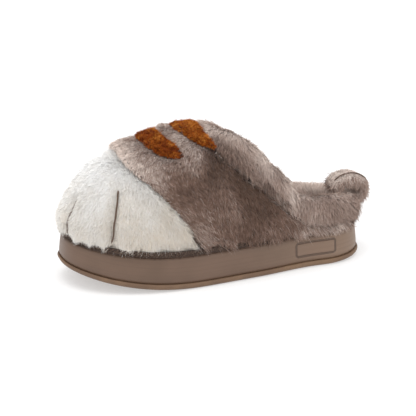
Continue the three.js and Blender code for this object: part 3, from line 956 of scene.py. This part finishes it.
# Painted light: the band is lighter where it faces up, as the light from above falls, and painted shade
# darkens it in the hole of the arch.
top_highlight = smooth(-0.2, 0.7, out[:, 2])
from_middle = (at[:, (0, 2)] - loop_middle) / loop_radii
hole = 1 - smooth(0.8, 1.0, np.linalg.norm(from_middle, axis=1))
fur = pile_of(
    "pull_loop_pile",
    collar_pile,
    at,
    out,
    random.normal(size=at.shape) * 0.5 + np.array([0, 0, -1.0]),
    tone=0.58 + 0.26 * top_highlight - 0.2 * hole + 0.08 * patches(at, 0.02, 12) + random.normal(size=len(at)) * 0.14,
    length=loop_length * random.uniform(0.7, 1.2, len(at)) * (1 + 1.6 * hole),
    rise=0.62,
    width=loop_width,
    depth=loop_root,
    clump=0.2,
    tuft=8,
    wild=0.2,
)

bm = bmesh.new()
path = []
for i in range(seam_steps + 1):
    turn = math.radians(loop_seam_turns[0] + (loop_seam_turns[1] - loop_seam_turns[0]) * i / seam_steps)
    x = loop_middle[0] + (loop_radii[0] + loop_seam_proud) * math.cos(turn)
    z = loop_middle[1] + (loop_radii[1] + loop_seam_proud) * math.sin(turn)
    path.append(Vector((x, loop_seam_side, z)))
round_thread(bm, path, loop_seam_radius)
bmesh.ops.recalc_face_normals(bm, faces=bm.faces)
loop_seam = finished("pull_loop_seam", bm, thread)


# Welt. A dark woven strip that closes the foot of the fur all round, stitched down along the rim,
# with a raw edge whose fibres fray out over the foam.
welt_middle = 0.0046
welt_half = 0.0013
welt_low = 0.0278
welt_high = 0.0322
welt_corner = 0.0005
welt_steps = 180
stitch_length = 0.0026
stitch_gap = 0.0042
stitch_radius = 0.00045
stitch_proud = 0.0002
rim_steps = 400
fray_count = 7000
fray_root = 0.0002
fray_width = 0.00018

woven, shader, link = material("woven_strip", 0.9)
where = link.node("ShaderNodeTexCoord", {}, {}, output="Object")
weave = link.node("ShaderNodeTexWave", {"bands_direction": "DIAGONAL"}, {"Vector": where, "Scale": 260.0})
feed(shader, "Base Color", mix(link, weave, paint("#2e221c"), paint("#57453b")))
feed(shader, "Normal", link.node("ShaderNodeBump", {}, {"Height": weave, "Distance": 0.0003}))


def rim_point(turn, inset, height):
    """A point over the rim from how far round it is, and in from the sole's edge."""
    side = math.sin(turn)
    across = 0 if abs(side) < 1e-9 else math.copysign(1, side)
    return sole_point((1 - math.cos(turn)) / 2, across, inset, height)


outline = [
    (welt_middle - welt_half, welt_low),
    (welt_middle - welt_half, welt_high - welt_corner),
    (welt_middle - welt_half + welt_corner, welt_high),
    (welt_middle + welt_half - welt_corner, welt_high),
    (welt_middle + welt_half, welt_high - welt_corner),
    (welt_middle + welt_half, welt_low),
]
bm = bmesh.new()
bmesh.ops.create_grid(bm, x_segments=welt_steps, y_segments=len(outline), size=1)
for vert in bm.verts:
    row = round((vert.co.y + 1) / 2 * len(outline)) % len(outline)
    vert.co = rim_point((vert.co.x + 1) * math.pi, *outline[row])
bmesh.ops.remove_doubles(bm, verts=bm.verts, dist=1e-6)
bmesh.ops.recalc_face_normals(bm, faces=bm.faces)
welt = finished("welt_strip", bm, woven)
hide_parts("welt")

face_inset = welt_middle - welt_half
face_height = (welt_low + welt_high) / 2
turns = random.uniform(0, 2 * math.pi, fray_count)
heights = random.uniform(welt_low, welt_high, fray_count)
at = np.array([rim_point(turn, face_inset, z) for turn, z in zip(turns, heights)])
out = unit(np.array([rim_point(turn, face_inset - 0.001, z) for turn, z in zip(turns, heights)]) - at)
fray_pile = pile_look("fray_pile", "#231a15", "#382a23", "#5a483e", "#8b7769", 0.1)
fray = pile_of(
    "welt_fray",
    fray_pile,
    at,
    out,
    np.tile((0, 0, -1.0), (len(at), 1)),
    tone=random.uniform(0.1, 0.8, len(at)),
    length=random.uniform(0.0012, 0.0032, len(at)),
    rise=0.55,
    width=fray_width,
    depth=fray_root,
    clump=0.4,
    tuft=5,
    wild=0.35,
)

bm = bmesh.new()
turns = [2 * math.pi * i / rim_steps for i in range(rim_steps + 1)]
path = [rim_point(turn, face_inset - stitch_proud, face_height) for turn in turns]
gone = 0.0
for here, there in zip(path, path[1:]):
    gone += (there - here).length
    if gone < stitch_gap:
        continue
    gone = 0.0
    made = bmesh.ops.create_icosphere(bm, subdivisions=1, radius=1)["verts"]
    bmesh.ops.scale(bm, verts=made, vec=(stitch_length / 2, stitch_radius, stitch_radius))
    turned = (there - here).to_track_quat("X", "Z").to_matrix()
    bmesh.ops.rotate(bm, verts=made, cent=(0, 0, 0), matrix=turned)
    bmesh.ops.translate(bm, verts=made, vec=here)
stitches = finished("welt_stitches", bm, thread)
